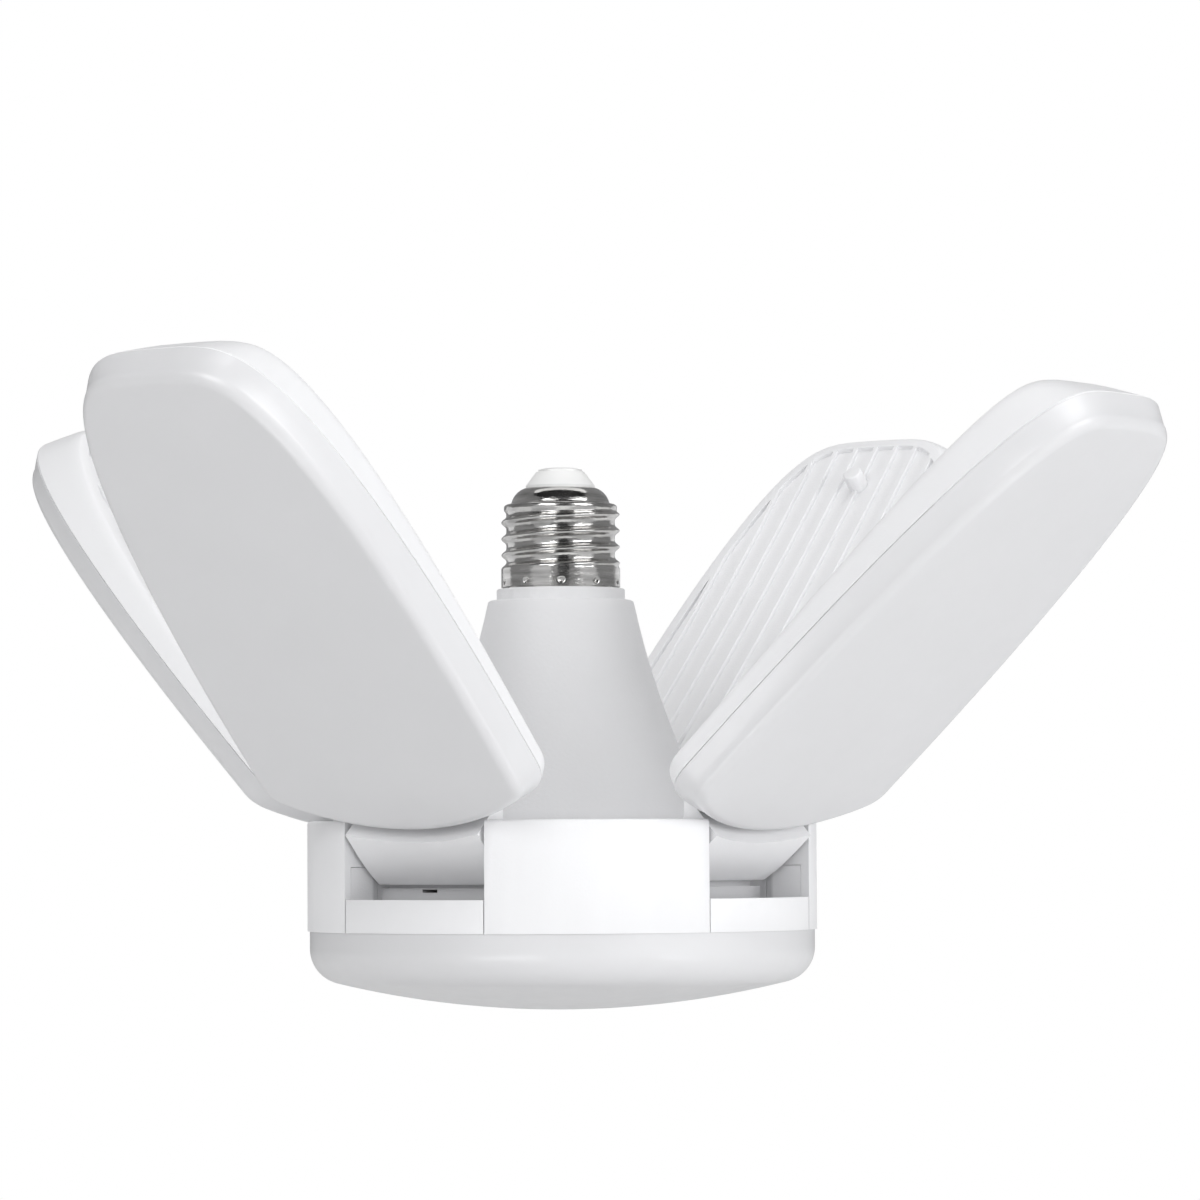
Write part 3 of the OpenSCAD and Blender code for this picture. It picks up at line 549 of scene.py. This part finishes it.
# Finishes: colour, roughness, grain scale, grain depth, then mottle, coat and metallic
PLASTICS = {
    "insulator_white": ((0.88, 0.88, 0.87), 0.38, 900, 0.00002),
    "neck_white": ((0.87, 0.87, 0.88), 0.55, 1500, 0.00006, 0.03),
    "housing_white": ((0.83, 0.83, 0.84), 0.50, 2200, 0.00003, 0.015),
    "shell_white": ((0.85, 0.85, 0.86), 0.42, 1800, 0.00003, 0.015),
    "milky_cover": ((0.70, 0.70, 0.71), 0.34, 600, 0.000008, 0.02, 0.25),
    "board_aluminium": ((0.85, 0.85, 0.84), 0.4, 900, 0.00002, 0.03),
    "led_yellow": ((0.90, 0.74, 0.22), 0.35, 1200, 0.00002, 0.05),
    "board_green": ((0.05, 0.22, 0.09), 0.4, 700, 0.00003, 0.2),
    "capacitor_black": ((0.03, 0.03, 0.035), 0.3, 700, 0.00002, 0.1),
    "transformer_tape": ((0.80, 0.58, 0.08), 0.4, 700, 0.00003, 0.15),
    "screw_steel": ((0.55, 0.55, 0.56), 0.3, 1200, 0.00003, 0.1, 0.0, 1.0),
}
TINNED = ((0.93, 0.93, 0.92), 0.5, 900, 0.00004, 0.06, 0.0, 0.35)
DARK_CARD = ((0.015, 0.015, 0.016), 0.8, 200, 0.0001)
GREY_CARD = ((0.40, 0.40, 0.405), 0.8, 200, 0.0001)
# Radius of the moulded edges of the housings, in millimetres
EDGE_RADII = {"hub_housing": 0.22, "base_ring": 0.2, "neck_housing": 0.3}


def node_tree(name):
    mat = bpy.data.materials.new(name)
    mat.use_nodes = True
    tree = mat.node_tree
    shader = tree.nodes["Principled BSDF"]
    return mat, tree, shader


def computed(tree, kind, operation, *sources):
    """Output of a maths node that is fed by sockets."""
    node = tree.nodes.new(kind)
    node.operation = operation
    for i, source in enumerate(sources):
        tree.links.new(source, node.inputs[i])
    return node.outputs


def noise(tree, scale, detail=4.0, stretch=(1, 1, 1)):
    coord = tree.nodes.new("ShaderNodeTexCoord")
    mapping = tree.nodes.new("ShaderNodeMapping")
    mapping.inputs["Scale"].default_value = stretch
    tex = tree.nodes.new("ShaderNodeTexNoise")
    tex.inputs["Scale"].default_value = scale
    tex.inputs["Detail"].default_value = detail
    tree.links.new(coord.outputs["Object"], mapping.inputs["Vector"])
    tree.links.new(mapping.outputs["Vector"], tex.inputs["Vector"])
    return tex.outputs["Fac"]


def ramp(tree, source, low, high, span=(0.3, 0.7)):
    node = tree.nodes.new("ShaderNodeMapRange")
    node.inputs["From Min"].default_value, node.inputs["From Max"].default_value = span
    node.inputs["To Min"].default_value, node.inputs["To Max"].default_value = low, high
    tree.links.new(source, node.inputs["Value"])
    return node.outputs["Result"]


def mix_colours(tree, factor, a, b):
    """Mix of a, a colour or a socket, with the colour b."""
    node = tree.nodes.new("ShaderNodeMix")
    node.data_type = "RGBA"
    if isinstance(a, tuple):
        node.inputs["A"].default_value = (*a, 1)
    else:
        tree.links.new(a, node.inputs["A"])
    node.inputs["B"].default_value = (*b, 1)
    tree.links.new(factor, node.inputs["Factor"])
    return node.outputs["Result"]


def bump(tree, shader, height, distance):
    node = tree.nodes.new("ShaderNodeBump")
    node.inputs["Distance"].default_value = distance
    node.inputs["Strength"].default_value = 1.0
    tree.links.new(height, node.inputs["Height"])
    tree.links.new(node.outputs["Normal"], shader.inputs["Normal"])


def plastic(name, colour, rough, grain_scale, grain, mottle=0.02, coat=0.0, metallic=0.0):
    mat, tree, shader = node_tree(name)
    dark = tuple(c * (1 - mottle) for c in colour)
    cloud = ramp(tree, noise(tree, CLOUD_SCALE), 0, 1)
    tree.links.new(mix_colours(tree, cloud, dark, colour), shader.inputs["Base Color"])
    rough_fac = ramp(tree, noise(tree, ROUGH_SCALE), rough - ROUGH_DOWN, rough + ROUGH_UP)
    tree.links.new(rough_fac, shader.inputs["Roughness"])
    shader.inputs["Metallic"].default_value = metallic
    shader.inputs["Coat Weight"].default_value = coat
    shader.inputs["Coat Roughness"].default_value = COAT_ROUGHNESS
    bump(tree, shader, noise(tree, grain_scale, 2.0), grain)
    return mat


def paint_recess_shade(mat, radius, top, shade_colour):
    """Painted shade: a darker colour inside a radius about the lamp's axis, below a height."""
    tree = mat.node_tree
    base = tree.nodes["Principled BSDF"].inputs["Base Color"]
    coord = tree.nodes.new("ShaderNodeTexCoord").outputs["Object"]
    flat = computed(tree, "ShaderNodeVectorMath", "MULTIPLY", coord)["Vector"]
    flat.node.inputs[1].default_value = (1, 1, 0)
    away = computed(tree, "ShaderNodeVectorMath", "LENGTH", flat)["Value"]
    split = tree.nodes.new("ShaderNodeSeparateXYZ")
    tree.links.new(coord, split.inputs["Vector"])
    inside = ramp(tree, away, 1.0, 0.0, (radius - RECESS_EDGE, radius + RECESS_EDGE))
    below = ramp(tree, split.outputs["Z"], 1.0, 0.0, (top - RECESS_EDGE, top + RECESS_EDGE))
    share = computed(tree, "ShaderNodeMath", "MULTIPLY", inside, below)["Value"]
    tree.links.new(mix_colours(tree, share, base.links[0].from_socket, shade_colour), base)


def nickel(name):
    mat, tree, shader = node_tree(name)
    streaks = ramp(tree, noise(tree, 90, 5.0, (1, 1, 9)), 0, 1)
    colour = mix_colours(tree, streaks, NICKEL_DARK, NICKEL_LIGHT)
    tree.links.new(colour, shader.inputs["Base Color"])
    shader.inputs["Metallic"].default_value = 1.0
    tree.links.new(ramp(tree, noise(tree, 260, 3.0), *NICKEL_ROUGH), shader.inputs["Roughness"])
    bump(tree, shader, noise(tree, 420, 3.0, (1, 1, 4)), 0.00006)
    return mat


MATERIALS = {"nickel_plate": nickel("nickel_plate")}
MATERIALS.update((name, plastic(name, *settings)) for name, settings in PLASTICS.items())
# Painted shade: the housing's colour darkens deep in its recesses, where little light reaches
paint_recess_shade(MATERIALS["housing_white"], RECESS_R, RECESS_TOP, RECESS_SHADE_COLOUR)
tinned = plastic("nickel_tinned", *TINNED)

slot_of = {s["node"]: s["material_slot"] for s in frame["record"]["subparts"]}
for node_name, node_object in frame["nodes"].items():
    finish = tinned if node_name == "contact_button" else MATERIALS[slot_of[node_name]]
    if not node_object.material_slots:
        node_object.data.materials.append(finish)
    for material_slot in node_object.material_slots:
        material_slot.material = finish

for node_name, radius in EDGE_RADII.items():
    node_object = frame["nodes"][node_name]
    weld = node_object.modifiers.new("weld", "WELD")
    weld.merge_threshold = 2e-6
    flat = node_object.modifiers.new("flat", "DECIMATE")
    flat.decimate_type, flat.angle_limit = "DISSOLVE", math.radians(0.5)
    bevel = node_object.modifiers.new("edge", "BEVEL")
    bevel.width, bevel.segments, bevel.angle_limit = radius * MM, 2, math.radians(40)
    bevel.harden_normals = True

panel_kinds = (("shell", shell_mesh(), "shell_white"), ("diffuser", cover_mesh(), "milky_cover"))
for side in PANELS:
    for kind, source, slot_name in panel_kinds:
        mesh = source.copy()
        mesh.transform(Matrix.Scale(MM, 4) @ place_of(side))
        add_piece(f"{side}_{kind}", mesh, f"{side}_panel", f"{side}_panel_{kind}", slot_name)

cap = cap_mesh()
cap.transform(Matrix.Scale(MM, 4))
add_piece("threaded_cap", cap, "lamp", "screw_shell", "nickel_plate", 60)

dome = lathe("dome", dome_profile(), 160)
dome.transform(Matrix.Scale(MM, 4))
add_piece("dome", dome, "lamp", "main_diffuser", "milky_cover", 40)

# ---- Camera ----

VIEW_AZIMUTH = 36.2
DISTANCE = 1.16
PIXELS_PER_METRE = 4488.0
IMAGE = 1200
AXIS_X, HORIZON_Y = 560.8, 843.0
CAMERA_Z = -0.0566
ROLL = 0.3

turn = math.radians(VIEW_AZIMUTH)
back = Vector((math.sin(turn), -math.cos(turn), 0))
right = Vector((math.cos(turn), math.sin(turn), 0))
focal = DISTANCE * PIXELS_PER_METRE
pitch = math.atan((HORIZON_Y - IMAGE / 2) / focal)
ahead = -back * math.cos(pitch) + Vector((0, 0, math.sin(pitch)))
up = back * math.sin(pitch) + Vector((0, 0, math.cos(pitch)))
roll = math.radians(ROLL)
side_axis = right * math.cos(roll) - up * math.sin(roll)
up_axis = up * math.cos(roll) + right * math.sin(roll)
camera_data = bpy.data.cameras.new("camera")
camera_data.sensor_width = 36
camera_data.lens = 36 * focal / IMAGE
camera_data.clip_start, camera_data.clip_end = 0.05, 50
camera = bpy.data.objects.new("camera", camera_data)
bpy.context.scene.collection.objects.link(camera)
place = back * DISTANCE + right * ((IMAGE / 2 - AXIS_X) / PIXELS_PER_METRE) + Vector((0, 0, CAMERA_Z))
rotation = Matrix((side_axis, up_axis, -ahead)).transposed().to_4x4()
camera.matrix_world = Matrix.Translation(place) @ rotation
bpy.context.scene.camera = camera
bpy.context.scene.view_settings.view_transform = "Standard"

# ---- Floor, world and lights ----

FLOOR_Z, FLOOR_HALF, FLOOR_GREY = -0.2, 12, 0.9
# For the camera the floor fades to white between these distances, from this share on
FADE_SPAN, FADE_LOW = (0.3, 0.9), 0.55
AMBIENT = 0.46
LIGHT_COLOUR = (0.985, 0.99, 1.0)
# Softboxes: azimuth, elevation, distance, width, height, power
SOFTBOXES = {
    "left_box": (-30, 22, 1.6, 1.0, 0.9, 7.8),
    "right_box": (55, 4, 1.6, 1.4, 0.6, 13.4),
    "top_box": (0, 80, 1.5, 1.2, 1.0, 6.8),
}
# The same for lights that only show as reflections
GLINTS = {
    "glint_left": (-28, 25, 1.6, 0.9, 0.85, 8.0),
    "glint_right": (50, 25, 1.6, 1.1, 0.85, 9.0),
}
# Soft streaks on the dome: azimuth of the streak, then width, height and power of its light,
# which lies where a point of the dome's side mirrors it to the camera
DOME_GLINTS = {
    "dome_glint_left": (-12.1, 0.13, 0.05, 0.07),
    "dome_glint_right": (28.1, 0.08, 0.05, 0.03),
}
DOME_SIDE_R, DOME_SIDE_Z, MIRROR_TILT, GLINT_AWAY = 0.056, -0.0814, -18.5, 0.22
# Dark cards for the polished cap to reflect: azimuth, elevation, distance, width, height
CARDS = {
    "front_card": (6, 16, 1.6, 0.62, 1.4),
    "upper_card": (0, 74, 1.5, 2.6, 1.5),
}
# Grey wall round the stage, for reflections only
SURROUND_R, SURROUND_TOP, SURROUND_SIDES = 2.4, 3.4, 72


def rectangle(name, half_w, half_h, z=0):
    corners = [(-half_w, -half_h, z), (half_w, -half_h, z), (half_w, half_h, z), (-half_w, half_h, z)]
    return mesh_of(name, corners, [(0, 1, 2, 3)])


def stage_material():
    """Pale floor, whiter for the camera far from the part, and clear from below."""
    mat, tree, shader = node_tree("stage_white")
    nodes, links = tree.nodes, tree.links
    shader.inputs["Base Color"].default_value = (FLOOR_GREY, FLOOR_GREY, FLOOR_GREY, 1)
    shader.inputs["Roughness"].default_value = 0.9
    path, glow = nodes.new("ShaderNodeLightPath"), nodes.new("ShaderNodeEmission")
    geometry = nodes.new("ShaderNodeNewGeometry")
    far = computed(tree, "ShaderNodeVectorMath", "LENGTH", geometry.outputs["Position"])["Value"]
    fade = ramp(tree, far, FADE_LOW, 1.0, FADE_SPAN)
    share = computed(tree, "ShaderNodeMath", "MULTIPLY", path.outputs["Is Camera Ray"], fade)["Value"]
    clear = nodes.new("ShaderNodeBsdfTransparent")
    surface = shader.outputs["BSDF"]
    for factor, other in ((share, glow.outputs["Emission"]),
                          (geometry.outputs["Backfacing"], clear.outputs["BSDF"])):
        mix = nodes.new("ShaderNodeMixShader")
        links.new(factor, mix.inputs["Fac"])
        links.new(surface, mix.inputs[1])
        links.new(other, mix.inputs[2])
        surface = mix.outputs["Shader"]
    links.new(surface, nodes["Material Output"].inputs["Surface"])
    return mat


def spot_at(azimuth, elevation, distance):
    """Point on a sphere round the part; azimuth is counted from the camera's side."""
    a, e = math.radians(VIEW_AZIMUTH + azimuth), math.radians(elevation)
    return Vector((math.sin(a) * math.cos(e), -math.cos(a) * math.cos(e), math.sin(e))) * distance


def put(obj, spot, away):
    """Put an object at a spot, with its -Z side against the direction away."""
    obj.location = spot
    obj.rotation_mode = "QUATERNION"
    obj.rotation_quaternion = (-away).to_track_quat("-Z", "Y")


def softbox(name, spot, away, width, height, power, reflected=False):
    """Area light that the camera doesn't see; a reflected one shows only in reflections."""
    data = bpy.data.lights.new(name, "AREA")
    data.shape, data.size, data.size_y, data.energy = "RECTANGLE", width, height, power
    data.color = LIGHT_COLOUR
    lamp = object_of(name, data)
    put(lamp, spot, away)
    lamp.visible_camera, lamp.visible_glossy = False, reflected
    lamp.visible_diffuse = lamp.visible_transmission = not reflected


def add_card(name, mesh, finish):
    """Card that only shows as a reflection."""
    card = object_of(name, mesh)
    card.data.materials.append(finish)
    for kind in ("camera", "diffuse", "shadow", "transmission"):
        setattr(card, "visible_" + kind, False)
    return card


floor = object_of("floor", rectangle("floor", FLOOR_HALF, FLOOR_HALF, FLOOR_Z))
if floor.data.polygons[0].normal.z < 0:
    floor.data.flip_normals()
floor.data.materials.append(stage_material())

world = bpy.data.worlds.new("studio")
bpy.context.scene.world = world
world.use_nodes = True
tree = world.node_tree
background = tree.nodes["Background"]
path = tree.nodes.new("ShaderNodeLightPath")
seen = path.outputs["Is Camera Ray"]
for ray in ("Is Glossy Ray", "Is Transmission Ray"):
    seen = computed(tree, "ShaderNodeMath", "MAXIMUM", seen, path.outputs[ray])["Value"]
tree.links.new(ramp(tree, seen, AMBIENT, 1.0, (0.0, 1.0)), background.inputs["Strength"])
background.inputs["Color"].default_value = (1, 1, 1, 1)

for boxes, reflected in ((GLINTS, True), (SOFTBOXES, False)):
    for name, (azimuth, elevation, distance, width, height, power) in boxes.items():
        spot = spot_at(azimuth, elevation, distance)
        softbox(name, spot, spot, width, height, power, reflected)
for name, (azimuth, width, height, power) in DOME_GLINTS.items():
    away = spot_at(2 * azimuth, MIRROR_TILT, 1.0)
    spot = spot_at(azimuth, 0, DOME_SIDE_R) + Vector((0, 0, DOME_SIDE_Z)) + away * GLINT_AWAY
    softbox(name, spot, away, width, height, power, True)

dark = plastic("card_dark", *DARK_CARD)
for name, (azimuth, elevation, distance, width, height) in CARDS.items():
    spot = spot_at(azimuth, elevation, distance)
    put(add_card(name, rectangle(name, width / 2, height / 2), dark), spot, spot)

turns = [2 * math.pi * i / SURROUND_SIDES for i in range(SURROUND_SIDES)]
verts = [(SURROUND_R * math.cos(a), SURROUND_R * math.sin(a), z)
         for z in (FLOOR_Z + 0.005, SURROUND_TOP) for a in turns]
faces = [(i, (i + 1) % SURROUND_SIDES, (i + 1) % SURROUND_SIDES + SURROUND_SIDES, i + SURROUND_SIDES)
         for i in range(SURROUND_SIDES)]
add_card("surround", mesh_of("surround", verts, faces), plastic("card_grey", *GREY_CARD))
